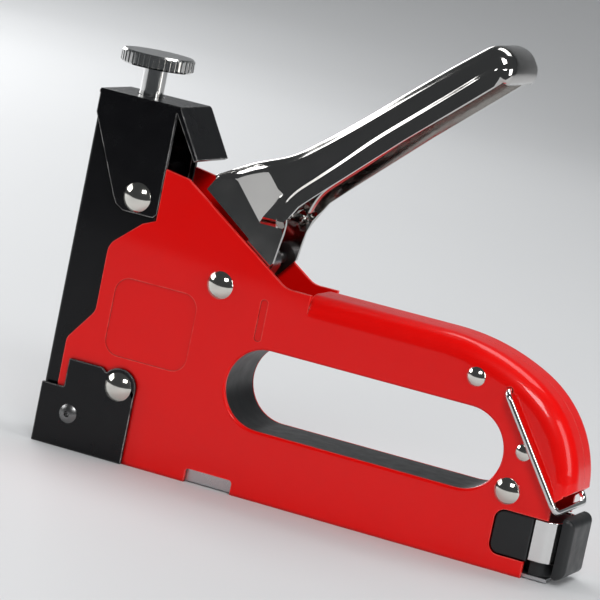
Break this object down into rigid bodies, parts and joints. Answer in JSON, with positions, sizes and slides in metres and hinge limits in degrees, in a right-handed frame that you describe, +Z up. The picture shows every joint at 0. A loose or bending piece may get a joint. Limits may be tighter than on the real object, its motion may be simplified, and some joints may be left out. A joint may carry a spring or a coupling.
{
  "type": "staple gun",
  "caption": "Hand staple gun with pressed red steel shells, a finger slot, a squeeze lever, a tension screw on top, a wire lock and a pull-out magazine.",
  "frame": {"origin": "middle of the base, at the height of the surface the gun stands on", "axes": "+X from the nose to the handle end, +Z up, Y across the gun"},
  "size_m": [0.1614, 0.0292, 0.1394],
  "materials": {
    "red_paint": "gloss red enamel on pressed steel",
    "black_steel": "gloss black coating with bright worn folds",
    "black_plastic": "fine-textured black plastic",
    "dark_chrome": "polished black-nickel plate",
    "rivet_chrome": "polished nickel plate",
    "dark_nickel": "dark plated",
    "bright_chrome": "polished chrome plate",
    "zinc_steel": "zinc-plated steel",
    "hard_steel": "hardened and oiled steel",
    "spring_steel": "oiled spring steel",
    "bronze": "sintered bronze",
    "black_rubber": "matt rubber"
  },
  "bodies": {
    "housing": {"left_shell": "red_paint", "right_shell": "red_paint", "slot_liner": "black_plastic", "front_channel": "black_steel", "left_nose_plate": "black_steel", "right_nose_plate": "black_steel", "spring_cap": "black_steel", "nose_block": "zinc_steel", "rubber_stop": "black_rubber", "nose_eyelets": "dark_nickel", "cap_rivets": "rivet_chrome", "cap_nut": "zinc_steel", "lever_rivet": "rivet_chrome", "nose_rivet": "rivet_chrome", "upper_rivet": "rivet_chrome", "latch_rivet": "rivet_chrome", "bail_stop_rivet": "rivet_chrome", "spacer_tubes": "zinc_steel", "feed_channel": "zinc_steel", "main_spring": "spring_steel", "lever_return_spring": "spring_steel"},
    "lever": {"lever_handle": "dark_chrome", "lifter_arm": "hard_steel", "lifter_rivet": "hard_steel", "pivot_bush": "bronze"},
    "plunger": {"plunger": "hard_steel", "driver_blade": "hard_steel", "blade_rivets": "hard_steel"},
    "seat": {"spring_seat": "zinc_steel"},
    "screw": {"tension_knob": "bright_chrome", "tension_screw": "bright_chrome"},
    "wire_lock": {"bail_wire": "bright_chrome"},
    "magazine": {"magazine_tray": "zinc_steel", "staple_rail": "zinc_steel", "guide_rod": "zinc_steel", "pusher_spring": "spring_steel", "latch_body": "black_plastic", "left_button_spring": "spring_steel", "right_button_spring": "spring_steel", "latch_plate": "bright_chrome", "rear_cap": "black_plastic", "tray_rivets": "zinc_steel"},
    "pusher": {"staple_pusher": "zinc_steel"},
    "left_button": {"left_button": "black_plastic"},
    "right_button": {"right_button": "black_plastic"}
  },
  "joints": [
    {"name": "lever_pivot", "type": "hinge", "parent": "housing", "child": "lever", "pos_m": [-0.0333, 0, 0.0567], "axis": [0, 1, 0], "range_deg": [0, 42], "stiffness_Nm_per_rad": 0.4, "springref_deg": -20.05, "deforming": ["lever_return_spring"]},
    {"name": "plunger_slide", "type": "slide", "parent": "housing", "child": "plunger", "axis": [0, 0, 1], "range_m": [0, 0.023], "deforming": ["main_spring"]},
    {"name": "tension_slide", "type": "slide", "parent": "housing", "child": "seat", "axis": [0, 0, -1], "range_m": [0, 0.005], "deforming": ["main_spring"]},
    {"name": "knob_turn", "type": "hinge", "parent": "seat", "child": "screw", "pos_m": [-0.0697, 0, 0.1], "axis": [0, 0, -1], "range_deg": [0, 1801]},
    {"name": "lock_swing", "type": "hinge", "parent": "housing", "child": "wire_lock", "pos_m": [0.0554, 0, 0.0492], "axis": [0, -1, 0], "range_deg": [0, 118]},
    {"name": "magazine_slide", "type": "slide", "parent": "housing", "child": "magazine", "axis": [1, 0, 0], "range_m": [0, 0.125]},
    {"name": "pusher_slide", "type": "slide", "parent": "magazine", "child": "pusher", "axis": [1, 0, 0], "range_m": [0, 0.1], "stiffness_N_per_m": 15, "springref_m": -0.15, "deforming": ["pusher_spring"]},
    {"name": "left_button_press", "type": "slide", "parent": "magazine", "child": "left_button", "axis": [0, 1, 0], "range_m": [0, 0.0015], "stiffness_N_per_m": 400, "springref_m": -0.002, "deforming": ["left_button_spring"]},
    {"name": "right_button_press", "type": "slide", "parent": "magazine", "child": "right_button", "axis": [0, -1, 0], "range_m": [0, 0.0015], "stiffness_N_per_m": 400, "springref_m": -0.002, "deforming": ["right_button_spring"]}
  ],
  "couplings": [
    {"joint": "plunger_slide", "follows": "lever_pivot", "m_per_rad": 0.031288},
    {"joint": "knob_turn", "follows": "tension_slide", "rad_per_m": 6283.2}
  ]
}
